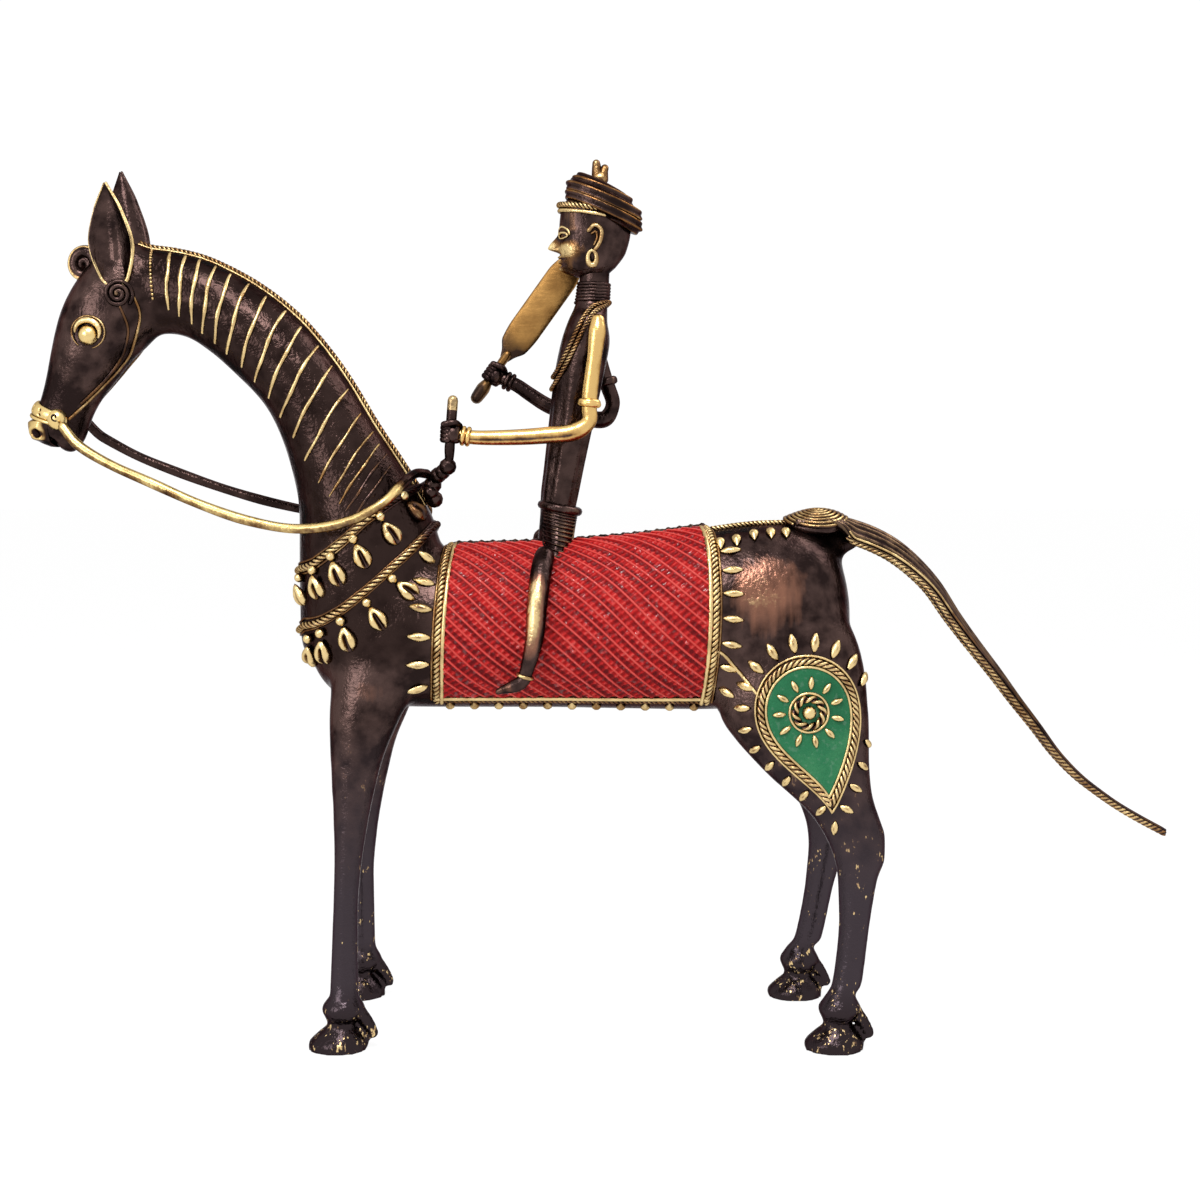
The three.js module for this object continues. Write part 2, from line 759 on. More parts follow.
// Reins and lead: routes chosen by hand from the cheek bosses back to the knot behind the crest
const reinRoutes = {
  left: [
    [-157, -11.2, 34.5],
    [-146.1, -14, 27.3],
    [-130.9, -17, 19.3],
    [-115.8, -20, 13.2],
    [-101, -22.4, 8.4],
    [-86.5, -24.2, 6.2],
    [-72, -27, 8.4],
    [-62, -26.6, 13.6],
    [-57, -18.6, 19.2],
    [-54, -9.4, 22],
    [-51.5, -4.1, 21.8],
  ],
  right: [
    [-157, 11.2, 35.2],
    [-147, 14, 30.2],
    [-132, 17, 23],
    [-115.9, 20, 16.8],
    [-101, 22.4, 12.4],
    [-86.5, 24.2, 9.6],
    [-72, 25.2, 9.6],
    [-62, 23, 13.2],
    [-54.6, 14, 17.4],
    [-50.7, 6, 19.4],
    [-49.9, 0.7, 18.9],
  ],
};
const leadRoute = [
  [-49.4, -2, 14.2],
  [-49.9, -2, 18.6],
  [-47.9, -6.4, 21.4],
  [-44.7, -10.6, 24],
  [-43.9, -12.6, 30],
  [-43.6, -12.9, 34.5],
  [-42.9, -12.9, 43.2],
];
const onBack = (route) => route.map(([x, y, z]) => vec(x, y, backHeight + z));

const leadSteps = 12;

function buildReins() {
  for (const { word } of sides) {
    const path = curvePoints(onBack(reinRoutes[word]), 20);
    add(horse, `${word}_rein`, wire(path, reinDiameter / 2), word === "left" ? "brass" : "patina");
  }
  const path = curvePoints(onBack(leadRoute), leadSteps);
  const knots = onBack(leadRoute.slice(0, leadKnots)).map((at) =>
    new THREE.SphereGeometry(leadKnotDiameter / 2, 6, 4).translate(at.x, at.y, at.z),
  );
  add(horse, "rein_lead", join(wire(path, leadDiameter / 2, { count: ropeSides }), ...knots), "patina");
}

// Trim of the neck
function insideBody(p, grow) {
  if (p.x > chestX && p.x < rumpX) {
    const { centre, reach, half } = trunk.section(trunkAt(p.x));
    if (Math.hypot((p.z - centre.z) / (reach + grow), p.y / (half + grow)) < 1) return true;
  }
  return legs.some(({ limb }) => {
    const t = limb.find((section) => section.centre.z, p.z);
    if (p.z > limb.section(limb.last).centre.z) return false;
    const { centre, reach, half } = limb.section(t);
    return Math.hypot((p.x - centre.x) / (reach + grow), (p.y - centre.y) / (half + grow)) < 1;
  });
}

// A point moved out along a way until it clears the trunk and the legs
function cleared(at, out, height) {
  const step = 0.2;
  while (insideBody(at, height)) at.add(out.clone().multiplyScalar(step));
  return at;
}

function onChest(t, angle, height) {
  const at = neck.above(t, angle, height);
  const out = neck.above(t, angle, height + 1).sub(at);
  return { at: cleared(at, out, height), out };
}

// The parameter a set distance down the neck's surface
function downNeck(from, angle, distance) {
  const step = 0.01;
  let t = from;
  let travelled = 0;
  let here = neck.point(t, angle);
  while (travelled < distance) {
    t += step;
    const next = neck.point(t, angle);
    travelled += next.distanceTo(here);
    here = next;
  }
  return t;
}

// A collar is a rope ring round the neck. A bead and a cowrie hang from it at each step from the
// throat towards the crest.
function collar(at) {
  const radius = ropeDiameter / 2;
  const ringSteps = 24;
  const firstPendant = THREE.MathUtils.degToRad(12);
  const pendantStep = THREE.MathUtils.degToRad(24);
  const ring = spread(ringSteps).map(
    (k) => onChest(at, (fullTurn * k) / ringSteps, radius + 2 * brazeGap).at,
  );
  const rope = wire(ring, radius, { closed: true, count: ropeSides });
  const shellHeight = cowrieWidth * 0.32;
  const pendants = sides.flatMap(({ side }) =>
    spread(pendantsEachSide).flatMap((k) => {
      const angle = halfTurn + side * (firstPendant + pendantStep * k);
      const beadDown = radius + pendantBeadDiameter * 0.1;
      const cowrieDown = pendantBeadDiameter * 0.1 + cowrieLength / 2;
      const bead = onChest(downNeck(at, angle, beadDown), angle, pendantBeadDiameter / 2 + brazeGap);
      const shell = onChest(downNeck(at, angle, beadDown + cowrieDown), angle, shellHeight + brazeGap);
      const ball = new THREE.OctahedronGeometry(pendantBeadDiameter / 2);
      ball.translate(bead.at.x, bead.at.y, bead.at.z);
      const cowrie = new THREE.SphereGeometry(1, 6, 3);
      cowrie.scale(cowrieWidth / 2, cowrieLength / 2, shellHeight);
      const down = shell.at.clone().sub(bead.at).normalize();
      const face = shell.out.clone();
      face.sub(down.clone().multiplyScalar(face.dot(down))).normalize();
      const across = down.clone().cross(face);
      cowrie.applyMatrix4(new THREE.Matrix4().makeBasis(across, down, face));
      const middle = bead.at.clone().addScaledVector(down, cowrieDown);
      cowrie.translate(middle.x, middle.y, middle.z);
      return [ball, cowrie];
    }),
  );
  return join(rope, ...pendants);
}

function buildNeckTrim() {
  const radius = crestRopeDiameter / 2;
  const crest = shares(18).map((s) => neck.above(lerp(1.35, 7.35, s), 0, radius + brazeGap));
  add(horse, "crest_rope", wire(crest, radius, { count: ropeSides }), "brass");
  add(horse, "upper_collar", collar(upperCollarAt), "brass");
  add(horse, "lower_collar", collar(lowerCollarAt), "brass");
}

// Saddle cloth: edges in the side view by the share of the way down to the hem
const saddleFront = (down) => saddleFrontX - saddleFrontRake * down;
const saddleRear = (down) => saddleRearX + saddleRearBow * Math.sin(halfTurn * down);
const onTrunk = (x, angle, height) => trunk.above(trunkAt(x), angle, height);
function trunkOut(x, angle) {
  return onTrunk(x, angle, 1).sub(onTrunk(x, angle, 0)).normalize();
}
const onFlank = (x, angle, height) => cleared(onTrunk(x, angle, height), trunkOut(x, angle), height);
const ropeHeight = ropeDiameter / 2 + brazeGap;
const clothTop = (spineRidgeWidth / 2 + 2 * brazeGap) / (barrelDepth / 2);
const latticeAlong = 12;
const latticeDown = 14;

// Each panel's ridges run along the diagonals of its grid, so that ridge and groove alternate.
function saddlePanel(side) {
  const edge = ropeDiameter / 2 + brazeGap;
  const backing = 10;
  const hem = hemAngle - (ropeDiameter / 2 + 2 * brazeGap) / (barrelDepth / 2);
  const place = (u, v, height) => {
    const angle = lerp(clothTop, hem, v);
    const down = angle / hemAngle;
    const x = lerp(saddleFront(down) + edge, saddleRear(down) - edge, u);
    return onTrunk(x, side * angle, height);
  };
  const rings = spread(latticeAlong + 1).map((i) => {
    const u = i / latticeAlong;
    const face = spread(latticeDown + 1).map((j) => {
      const ridge = (i - j) % 2 === 0 ? latticeRelief : 0;
      return place(u, j / latticeDown, brazeGap + saddleThickness + ridge);
    });
    const back = spread(backing + 1).map((j) => place(u, 1 - j / backing, brazeGap));
    return [...face, ...back];
  });
  return loft(rings);
}

// An arch of rope over the back, with a row of leaf beads that point away from the cloth
function saddleArch(edge, leaves, way, lastLeaf) {
  const firstLeaf = 0.16;
  const path = shares(22).map((s) => {
    const angle = lerp(-hemAngle, hemAngle, s);
    return onFlank(edge(Math.abs(angle) / hemAngle), angle, ropeHeight);
  });
  const beads = sides.flatMap(({ side }) =>
    spread(leaves).map((k) => {
      const down = lerp(firstLeaf, lastLeaf, k / (leaves - 1));
      const reach = ropeDiameter / 2 + leafLength * 0.32;
      const x = edge(down) + way * reach;
      const angle = side * down * hemAngle;
      const at = onFlank(x, angle, leafThickness / 2 + brazeGap);
      return leaf(at, vec(way, 0, 0), trunkOut(x, angle));
    }),
  );
  return join(wire(path, ropeDiameter / 2, { count: ropeSides }), ...beads);
}

function hemRope(side) {
  const gap = ropeDiameter / 2 + brazeGap;
  const from = saddleFront(1) + gap;
  const to = saddleRear(1) - gap;
  const path = shares(9).map((s) => onTrunk(lerp(from, to, s), side * hemAngle, ropeHeight));
  const drops = spread(hemDrops).map((k) => {
    const x = lerp(from, to, (k + 0.5) / hemDrops);
    const reach = ropeDiameter / 2 + leafLength * 0.24;
    const angle = side * (hemAngle + reach / (barrelDepth / 2));
    const at = onTrunk(x, angle, leafThickness / 2 + brazeGap);
    const below = onTrunk(x, angle + side * 0.1, leafThickness / 2 + brazeGap);
    return leaf(at, below.sub(at), trunkOut(x, angle), leafLength * 0.8);
  });
  return join(wire(path, ropeDiameter / 2, { count: ropeSides }), ...drops);
}

function buildSaddle() {
  for (const { side, word } of sides) {
    add(horse, `${word}_saddle_panel`, saddlePanel(side), "red");
    add(horse, `${word}_hem_rope`, hemRope(side), "brass");
  }
  add(horse, "saddle_front_rope", saddleArch(saddleFront, frontLeaves, -1, 0.97), "brass");
  add(horse, "saddle_rear_rope", saddleArch(saddleRear, rearLeaves, 1, 0.86), "brass");
  const gap = ropeDiameter / 2 + brazeGap;
  const height = spineRidgeWidth / 2 + brazeGap;
  const ridge = shares(12).map((s) =>
    onTrunk(lerp(saddleFront(0) + gap, saddleRear(0) - gap, s), 0, height),
  );
  add(horse, "spine_ridge", wire(ridge, spineRidgeWidth / 2), "patina");
}

// Haunch plaques: a teardrop of enamel on the thigh, with its tip towards the hock
const plaqueAt = { x: 60.2, z: bellyHeight + 1.7 };
const plaqueLean = Math.atan2(7.5, -32.2);
const plaqueGap = 1;

// The teardrop's reach at an angle from its tip: a circle, and the two lines that touch it and meet
// at the tip
function teardrop(angle, radius, tip) {
  const touch = Math.acos(radius / tip);
  const turn = Math.abs(Math.atan2(Math.sin(angle), Math.cos(angle)));
  return turn < touch ? radius / Math.cos(touch - turn) : radius;
}

function onHaunch(side, angle, reach, height) {
  const x = plaqueAt.x + reach * Math.sin(angle + plaqueLean);
  const z = plaqueAt.z + reach * Math.cos(angle + plaqueLean);
  return vec(x, side * (flank(x, z) + height), z);
}

function plaque(side) {
  const round = 22;
  const ring = (share, height) =>
    spread(round).map((k) => {
      const angle = (fullTurn * k) / round;
      return onHaunch(side, angle, share * teardrop(angle, plaqueRadius, plaqueTip), height);
    });
  const top = plaqueGap + plaqueThickness;
  return loft([
    ...[0.1, 0.55, 1].map((share) => ring(share, plaqueGap)),
    ...[1, 0.55, 0.1].map((share) => ring(share, top)),
  ]);
}

// Even steps round the teardrop, from its tip, with the way out of it at each
function roundTeardrop(radius, tip, count, offset = 0) {
  const fine = 360;
  const outline = spread(fine + 1).map((k) => {
    const angle = (fullTurn * k) / fine;
    const reach = teardrop(angle, radius, tip);
    return new THREE.Vector2(reach * Math.sin(angle), reach * Math.cos(angle));
  });
  const lengths = [0];
  outline.slice(1).forEach((p, i) => lengths.push(lengths[i] + p.distanceTo(outline[i])));
  return spread(count).map((k) => {
    const target = (lengths.at(-1) * (k + offset)) / count;
    const i = lengths.findIndex((length, j) => j > 0 && length >= target);
    const share = (target - lengths[i - 1]) / (lengths[i] - lengths[i - 1]);
    const at = outline[i - 1].clone().lerp(outline[i], share);
    const chord = outline[Math.min(i + 2, fine)].clone().sub(outline[Math.max(i - 3, 0)]);
    const out = new THREE.Vector2(-chord.y, chord.x).normalize();
    if (out.dot(at) < 0) out.negate();
    return { at, out };
  });
}

function plaqueRope(side) {
  const radius = ropeDiameter / 2;
  const offset = radius + brazeGap;
  const wide = plaqueRadius + offset;
  const tip = (plaqueTip * wide) / plaqueRadius;
  const height = radius + plaqueGap;
  const onSpot = (spot, lift) => onHaunch(side, Math.atan2(spot.x, spot.y), spot.length(), lift);
  const path = roundTeardrop(wide, tip, 28).map(({ at }) => onSpot(at, height));
  const face = vec(0, side, 0);
  const lift = leafThickness / 2 + brazeGap;
  const beads = roundTeardrop(wide, tip, plaqueLeaves, 0.5).map(({ at, out }) => {
    const turned = out.clone().rotateAround(new THREE.Vector2(), -plaqueLean);
    const way = vec(turned.x, 0, turned.y);
    const onRope = onSpot(at, height);
    const middle = onRope.clone().addScaledVector(way, radius + leafLength * 0.18);
    const here = cleared(middle, face, lift);
    const along = here.clone().sub(onRope).normalize();
    const lifted = face.clone().addScaledVector(along, -face.dot(along)).normalize();
    return leaf(here, along, lifted);
  });
  return join(wire(path, radius, { closed: true, count: ropeSides }), ...beads);
}

// The sun is a pressed star: its rays stand round a ridge, and the ridge round a hub.
function haunchSun(side) {
  const seat = plaqueGap + plaqueThickness + brazeGap;
  const rayReach = sunRingDiameter / 2 + leafLength * 0.55;
  const ridge = sunRingDiameter / 2 - 1.6;
  const ridgeHeight = 1.6;
  const plate = 0.5;
  const count = 2 * sunRays;
  const ring = (tip, valley, height) =>
    spread(count).map((k) => {
      const reach = k % 2 === 0 ? tip : valley;
      return onHaunch(side, (fullTurn * k) / count, reach, seat + height);
    });
  const even = (reach, height) => ring(reach, reach, height);
  return loft([
    even(0.5, 0),
    even(ridge, 0),
    ring(rayReach, ridge + 1, 0),
    ring(rayReach - 0.4, ridge + 0.8, plate),
    even(ridge, ridgeHeight),
    even(sunBossDiameter / 2 + 0.4, plate),
    even(sunBossDiameter / 2 - 0.6, sunBossDiameter * 0.32),
    even(0.5, sunBossDiameter * 0.4),
  ]);
}

function buildHaunches() {
  for (const { side, word } of sides) {
    add(horse, `${word}_haunch_plaque`, plaque(side), "green");
    add(horse, `${word}_haunch_rope`, plaqueRope(side), "brass");
    add(horse, `${word}_haunch_sun`, haunchSun(side), "brass");
  }
}

// Tail: a fluted strip, arched across, that leaves the croup and hangs in a long double curve
const tailRoute = [
  [58, 8.9],
  [65, 9.6],
  [71, 9.4],
  [78, 7.6],
  [84, 5.2],
  [90, 1.7],
  [96.1, -3.5],
  [102.2, -10.4],
  [108.4, -20],
  [114.5, -28.5],
  [120.7, -36.7],
  [126.8, -45.2],
  [133, -53.4],
  [139.2, -61.9],
  [145.4, -68.6],
  [151.6, -73.7],
  [157.7, -78.1],
  [163.9, -81.9],
  [171.6, -86.2],
];
const tailCurve = new THREE.CatmullRomCurve3(
  tailRoute.map(([x, z]) => vec(x, 0, backHeight + z)),
  false,
  "centripetal",
);
const tailLength = tailCurve.getLength();
const tailWidth = smooth(
  [0, 0.07, 0.13, 0.35, 0.7, 1],
  [0.62, 0.66, 1, 0.72, 0.42, tailTipWidth / tailRootWidth],
);
const tailArch = smooth([0, 0.05, 0.13, 1], [20, 18, 7.4, 6]);
const tailCoilAlong = 7;

// A point on the tail's back: a distance along it, a distance across it and a height over it
function onTail(along, across, height) {
  const s = THREE.MathUtils.clamp(along / tailLength, 0, 1);
  const at = tailCurve.getPointAt(s);
  const way = tailCurve.getTangentAt(s);
  at.addScaledVector(way, along - s * tailLength);
  const up = vec(-way.z, 0, way.x);
  const arch = tailArch(s);
  const lean = across / arch;
  const out = up.clone().multiplyScalar(Math.cos(lean)).add(vec(0, Math.sin(lean), 0));
  return at.addScaledVector(up, -arch).addScaledVector(out, arch + height);
}

function tailBody() {
  const fluteDepth = 0.5;
  const flutes = 8;
  const rings = shares(16).map((s) => {
    const half = (tailRootWidth * tailWidth(s)) / 2;
    const thick = tailThickness * lerp(1, 0.7, s);
    const span = shares(flutes).map((v) => (2 * v - 1) * half);
    const back = [1, 0.5, 0, -0.5, -1].map((v) => v * half);
    return [
      ...span.map((w, k) => onTail(s * tailLength, w, k % 2 ? -fluteDepth : 0)),
      ...back.map((w) => onTail(s * tailLength, w, -thick)),
    ];
  });
  return loft(rings);
}

function tailRope(side) {
  const radius = tailRopeDiameter / 2;
  const from = (tailCoilAlong + tailCoilDiameter / 2 + tailRopeDiameter) / tailLength;
  const path = shares(18).map((share) => {
    const s = lerp(from, 0.995, share);
    const half = (tailRootWidth * tailWidth(s)) / 2;
    return onTail(s * tailLength, side * (half - radius * 0.4), radius + brazeGap);
  });
  return wire(path, radius, { count: ropeSides });
}

// The least distance between two points of a wire that are more than half a turn apart
function leastGap(points, diameter) {
  const apart = Math.round(coilSteps / 2);
  let least = Infinity;
  points.forEach((p, i) => {
    for (let j = i + apart; j < points.length; j += 1) least = Math.min(least, p.distanceTo(points[j]));
  });
  return least - diameter;
}

function buildTail() {
  add(horse, "tail", tailBody(), "patina");
  for (const { side, word } of sides) add(horse, `${word}_tail_rope`, tailRope(side), "brass");
  const turns = (tailCoilDiameter / 2 - coilWire) / coilPitch;
  const count = Math.round(turns * coilSteps);
  const spiral = shares(count).map((s) => {
    const radius = coilWire + coilPitch * turns * s;
    const turn = fullTurn * turns * s;
    const along = tailCoilAlong + radius * Math.cos(turn);
    return onTail(along, radius * Math.sin(turn), coilWire / 2 + brazeGap);
  });
  console.log(`tail coil gap ${leastGap(spiral, coilWire).toFixed(2)} mm`);
  add(horse, "tail_coil", wire(spiral, coilWire / 2, { count: coilSides }), "brass");
}

// Rider: heights are over the seat, and places along the horse are from the middle of the waist
const seatHeight = trunkTop(riderX) + spineRidgeWidth + 2 * brazeGap;
const atSeat = (x, y, z) => vec(riderX + x, y, seatHeight + z);
const riderLimb = (shape) =>
  new Limb(
    shape.map(({ front, back, half, y }) => ({
      front: [riderX + front[0], seatHeight + front[1]],
      back: [riderX + back[0], seatHeight + back[1]],
      half,
      y,
    })),
  );
const column = (z, x, deep, half) => ({ front: [x - deep, z], back: [x + deep, z], half });
const torso = riderLimb([
  column(6.4, -0.2, 5.2, 6.4),
  column(12.8, 0.6, 5.6, 6.8),
  column(20.3, 1.8, 5.9, 7.1),
  column(torsoHeight - 33.7, 4.6, 6.8, 8),
  column(torsoHeight - 21.7, 6.6, 7.4, 9.2),
  column(torsoHeight - 12.2, 8.3, 7.2, shoulderHalf),
  column(torsoHeight - 6.2, 9, 5.8, 9.4),
  column(torsoHeight - 2.7, 9.8, 5, 6),
  column(torsoHeight, 10.4, 4.7, 4.8),
  column(torsoHeight + 6.8, 11, 4.4, 4.4),
]);
const torsoAt = (z) => torso.find((section) => section.centre.z, seatHeight + z);
const riderHead = riderLimb([
  column(torsoHeight + 7.2, 10.4, 5, 4.4),
  column(torsoHeight + 9.4, 10.4, 9, 6.2),
  column(torsoHeight + 14.4, 10.6, 10.8, 7.2),
  column(torsoHeight + 20.4, 10.6, 10.8, 7.8),
  { front: [0.4, torsoHeight + 26], back: [21.8, torsoHeight + 19.4], half: 7.7 },
]);
const turban = riderLimb([
  { front: [4.4, torsoHeight + 25.4], back: [23, torsoHeight + 19.7], half: 8.2 },
  { front: [4.4, torsoHeight + 31.4], back: [23, torsoHeight + 24.6], half: 8 },
  { front: [5.8, torsoHeight + 35.2], back: [20.4, torsoHeight + 30.4], half: 6.2 },
  { front: [9, torsoHeight + 36.2], back: [15.4, torsoHeight + 34.2], half: 2.6 },
]);

function riderLeg(side) {
  const lay = brazeGap * 2 + saddleThickness + latticeRelief + thighDiameter / 2;
  const thigh = [
    atSeat(-0.6, side * 3.7, 3.7),
    ...[16, 30, 48, 70, 92].map((degrees, i) => {
      const angle = side * THREE.MathUtils.degToRad(degrees);
      return onTrunk(riderX - 1 - i * 1.3, angle, lay);
    }),
  ];
  const knee = thigh.at(-1);
  const ankle = vec(riderX - 8.6, knee.y * 0.985, knee.z - 9.6);
  const heel = vec(riderX - 9.8, knee.y * 0.98, knee.z - 12.4);
  const toe = vec(riderX - 16.6, knee.y * 0.985, knee.z - 15.2);
  const radius = smooth(
    [0, 0.12, 0.55, 0.84, 0.9, 1],
    [
      thighDiameter * 0.46,
      thighDiameter / 2,
      thighDiameter * 0.44,
      ankleDiameter / 2,
      ankleDiameter / 2,
      ankleDiameter * 0.3,
    ],
  );
  return wire(curvePoints([...thigh, ankle, heel, toe], 16), radius, { count: 7 });
}

// A winding of wire that lies on the figure's own section, from its lowest turn up
function winding(sectionAt, from, pitch, turns, wireWidth) {
  const path = shares(Math.round(turns * coilSteps)).map((s) => {
    const z = from + pitch * turns * s;
    const { centre, deep, half } = sectionAt(z);
    const angle = fullTurn * turns * s;
    const off = brazeGap + wireWidth / 2;
    return vec(centre.x + (deep + off) * Math.cos(angle), (half + off) * Math.sin(angle), seatHeight + z);
  });
  return path;
}

function buildRider() {
  add(rider, "rider_torso", torso.body(shares(12), 0, { count: 12 }), "patina");
  for (const { side, word } of sides) add(rider, `rider_${word}_leg`, riderLeg(side), "patina");

  // The waist winding flares at its foot to pass round both thighs.
  const windingFrom = 4.6;
  const windingPitch = windingHeight / windingTurns;
  const waist = (z) => {
    const { centre, reach, half } = torso.section(torsoAt(Math.max(z, 6.4)));
    const flare = Math.max(0, 1 - (z - windingFrom) / 3.4);
    return { centre, deep: reach + flare * 0.8, half: half + flare * 4.2 };
  };
  const waistPath = winding(waist, windingFrom, windingPitch, windingTurns, windingWire);
  console.log(`waist winding gap ${leastGap(waistPath, windingWire).toFixed(2)} mm`);
  add(rider, "waist_winding", wire(waistPath, windingWire / 2, { count: coilSides }), "patina");

  const throat = (z) => {
    const { centre, reach, half } = torso.section(torsoAt(z));
    return { centre, deep: reach, half };
  };
  const throatPath = winding(throat, torsoHeight - 0.4, collarPitch, collarTurns, windingWire);
  console.log(`neck winding gap ${leastGap(throatPath, windingWire).toFixed(2)} mm`);
  add(rider, "neck_winding", wire(throatPath, windingWire / 2, { count: coilSides }), "patina");

  const garlandLift = 2 * brazeGap;
  const garlandRoute = [
    [180, 1.4],
    [125, 1.6],
    [84, 3.4],
    [62, 8.5],
    [50, 15],
    [36, 22],
    [18, 27],
  ];
  const strand = (side) =>
    garlandRoute.map(([degrees, drop]) =>
      torso.above(torsoAt(torsoHeight - drop), side * THREE.MathUtils.degToRad(degrees), garlandWire / 2 + garlandLift),
    );
  const low = torso.above(torsoAt(torsoHeight - 28.4), 0, garlandWire / 2 + garlandLift);
  const loop = [...strand(left), low, ...strand(right).slice(1).reverse()];
  const thread = wire(curvePoints(loop, 30, true), garlandWire / 2, { closed: true, count: ropeSides });
  add(rider, "garland", thread, "brass");
}

function buildArms() {
  const shoulderY = shoulderHalf + upperArmDiameter / 2 - 0.3;
  const arms = {
    left: {
      upper: [
        atSeat(10.6, -shoulderY, torsoHeight - 4.6),
        atSeat(10.4, -shoulderY - 0.2, torsoHeight - 11),
        atSeat(9.3, -13, 41.4),
      ],
      fore: [
        atSeat(9.2, -13, 37.4),
        atSeat(8.8, -13, 32.8),
        atSeat(5.8, -13, 30.2),
        atSeat(-4, -12.9, 29.2),
        atSeat(-16, -12.8, 29.4),
        atSeat(-24.6, -12.8, 30),
      ],
      fist: atSeat(-31.1, -12.8, 31),
      coat: "brass",
    },
    right: {
      upper: [
        atSeat(10.6, shoulderY, torsoHeight - 4.6),
        atSeat(11.2, shoulderY + 0.2, torsoHeight - 11),
        atSeat(14, 13.4, 48.6),
      ],
      fore: [
        atSeat(15.2, 13.4, 45.2),
        atSeat(16.3, 13.4, 39.4),
        atSeat(14.2, 13.4, 34.8),
        atSeat(8.4, 13.4, 35.2),
        atSeat(-2.7, 13.4, 39.7),
        atSeat(-8.8, 13.4, 43.4),
        atSeat(-12.6, 13.4, 46),
      ],
      fist: atSeat(-19.9, 13.4, 49.3),
      coat: "patina",
    },
  };
  const leadPath = curvePoints(onBack(leadRoute), leadSteps);
  const lead = wire(leadPath, leadDiameter / 2 + brazeGap, { count: ropeSides });
  const gripSeat = swordGrip(brazeGap);
  for (const { word } of sides) {
    const { upper, fore, fist, coat } = arms[word];
    const radius = smooth(
      [0, 0.06, 0.4, 0.5, 1],
      [
        upperArmDiameter * 0.28,
        upperArmDiameter / 2,
        upperArmDiameter * 0.43,
        forearmDiameter * 0.56,
        forearmDiameter * 0.43,
      ],
    );
    const wristWay = fore.at(-1).clone().sub(fist).normalize();
    const wrist = fist.clone().addScaledVector(wristWay, fistDiameter * 0.53 + brazeGap);
    const arm = wire(curvePoints([...upper, ...fore, wrist], 18), radius, { count: 7 });
    add(rider, `rider_${word}_arm`, arm, coat);
    const elbow = upper.at(-1).clone().lerp(fore[0], 0.5);
    const bandRadius = upperArmDiameter * 0.43 + brazeGap + ringWire / 2;
    const armlet = new THREE.TorusGeometry(bandRadius, ringWire / 2, 4, 11);
    const armWay = fore[0].clone().sub(upper.at(-2)).normalize();
    add(rider, `${word}_armlet`, stand(armlet, elbow, armWay), "brass");
    const cuffRadius = forearmDiameter * 0.43 + 2 * brazeGap + ringWire / 2;
    const cuffAt = wrist.clone().addScaledVector(wristWay, ringWire);
    const cuff = stand(new THREE.TorusGeometry(cuffRadius, ringWire / 2, 4, 10), cuffAt, wristWay);
    add(rider, `${word}_cuff`, cuff, "brass");
    const hand = new THREE.SphereGeometry(fistDiameter / 2, 7, 5);
    hand.scale(1.1, 0.95, 1.1);
    hand.translate(fist.x, fist.y, fist.z);
    add(rider, `${word}_hand`, cut(hand, word === "left" ? lead : gripSeat), "patina");
  }
}

// Sword: it leans back across the far shoulder, with its grip through the right hand.
const swordFoot = atSeat(-24.2, 13.4, 43.6);
const swordWay = vec(0.585, 0, 0.811);
const gripLength = 13.5;

function swordGrip(grow) {
  const reach = [0, 0.5, 1].map((s) => swordFoot.clone().addScaledVector(swordWay, gripLength * s));
  return wire(reach, gripDiameter / 2 + grow, { count: 7 });
}

function buildSword() {
  const half = bladeWidth / 2;
  const neckWide = gripDiameter * 0.7;
  const outline = new THREE.Shape();
  outline.moveTo(-0.8, -neckWide);
  outline.lineTo(2.4, -neckWide);
  outline.quadraticCurveTo(3.2, -half, 7, -half);
  outline.lineTo(bladeLength - 7, -half);
  outline.quadraticCurveTo(bladeLength - 1, -half * 0.6, bladeLength, half * 0.5);
  outline.lineTo(bladeLength - 2, half);
  outline.lineTo(4, half);
  outline.quadraticCurveTo(2, half, 1, neckWide);
  outline.lineTo(-0.8, neckWide);
  const blade = new THREE.ExtrudeGeometry(outline, {
    depth: bladeThickness,
    bevelEnabled: false,
    curveSegments: 4,
  });
  blade.translate(0, 0, -bladeThickness / 2);
  const across = vec(0, 1, 0).cross(swordWay);
  blade.applyMatrix4(new THREE.Matrix4().makeBasis(swordWay, across, vec(0, 1, 0)));
  const foot = swordFoot.clone().addScaledVector(swordWay, gripLength);
  blade.translate(foot.x, foot.y, foot.z);
  const pommel = new THREE.SphereGeometry(gripDiameter * 0.8, 6, 5);
  pommel.translate(swordFoot.x, swordFoot.y, swordFoot.z);
  add(rider, "sword", join(swordGrip(0), blade, pommel), "satinBrass");
}

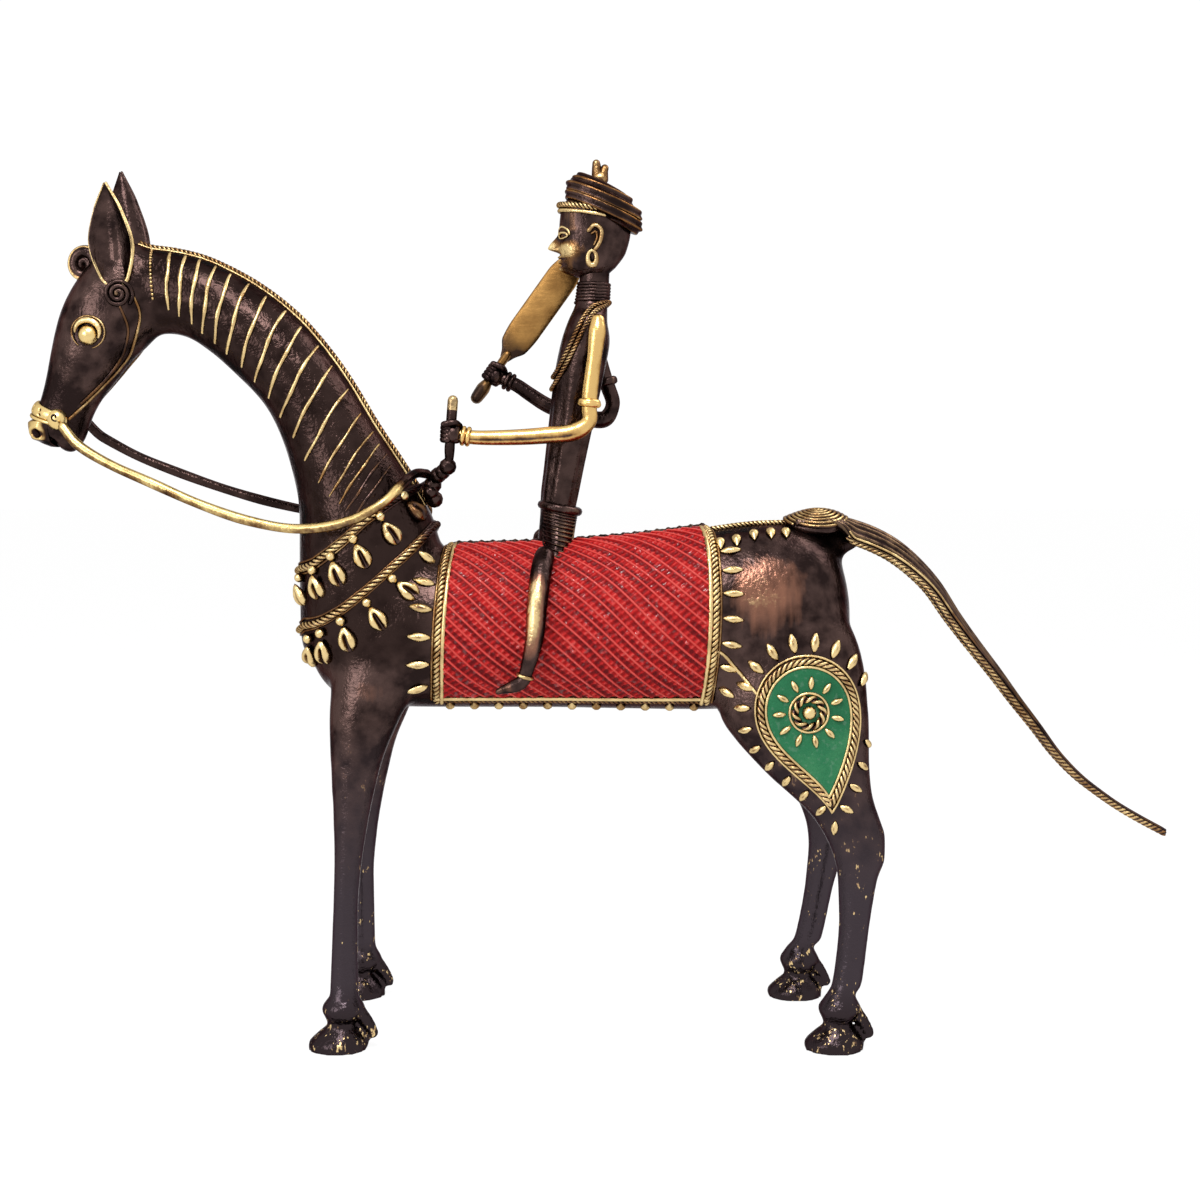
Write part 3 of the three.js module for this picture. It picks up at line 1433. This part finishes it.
// Rider's head: a plain folk face, with a turban of two rolls tied in a knot on top
function buildRiderHead() {
  const noseTip = atSeat(-4, 0, torsoHeight + 18.6);
  const nose = new THREE.ConeGeometry(2.2, 7.5, 5);
  nose.scale(1, 0.9, 1);
  nose.rotateX(halfTurn / 2);
  nose.rotateY(-0.32);
  nose.translate(noseTip.x + 2.6, 0, noseTip.z + 0.8);
  const ears = sides.map(({ side }) => {
    const lobe = new THREE.SphereGeometry(1, 6, 5);
    lobe.scale(1.8, 1.2, 3.4);
    const at = riderHead.above(2.5, (side * halfTurn) / 2 + side * 0.14, 0.2);
    return lobe.translate(at.x, at.y, at.z);
  });
  const bare = riderHead.body(shares(8), 0, { count: 11 });
  add(rider, "rider_head", join(bare, nose, ...ears), "brass");

  // The rolls are bulges of one wrapped body: where each ring lies, and how far it stands out
  const wrapped = [
    [0, 0],
    [0, 0.35],
    [0.3, 0.5],
    [0.75, 0.42],
    [1.05, 0.06],
    [1.35, 0.34],
    [1.8, 0.3],
    [2.2, 0.05],
    [turban.last, 0],
  ];
  const wrap = loft(
    wrapped.map(([t, out]) =>
      spread(14).map((k) => turban.above(t, (fullTurn * k) / 14, out * turbanRoll)),
    ),
  );
  add(rider, "turban", wrap, "patina");
  const knotFoot = turban.section(turban.last).centre;
  const knotLift = brazeGap + 0.2;
  const knot = new THREE.SphereGeometry(2.2, 7, 5).translate(knotFoot.x, 0, knotFoot.z + knotLift + 2.2);
  const tips = [-0.5, 0.55].map((lean) => {
    const tip = new THREE.ConeGeometry(1.1, 4.4, 6).rotateX(halfTurn / 2).translate(0, 0, 2);
    tip.rotateY(lean);
    return tip.translate(knotFoot.x, 0, knotFoot.z + knotLift + 2.6);
  });
  add(rider, "turban_knot", join(knot, ...tips), "patina");

  for (const { side, word } of sides) {
    const at = riderHead.above(1.75, (side * halfTurn) / 2 + side * 0.2, 1.9);
    const ring = new THREE.TorusGeometry(2, earringWire / 2, 4, 9).rotateX(halfTurn / 2);
    add(rider, `${word}_earring`, ring.translate(at.x, at.y, at.z - 1.2), "brass");
  }
}

buildCasting();
buildLegs();
buildHead();
buildReins();
buildNeckTrim();
buildSaddle();
buildHaunches();
buildTail();
buildRider();
buildArms();
buildSword();
buildRiderHead();

export default figure;
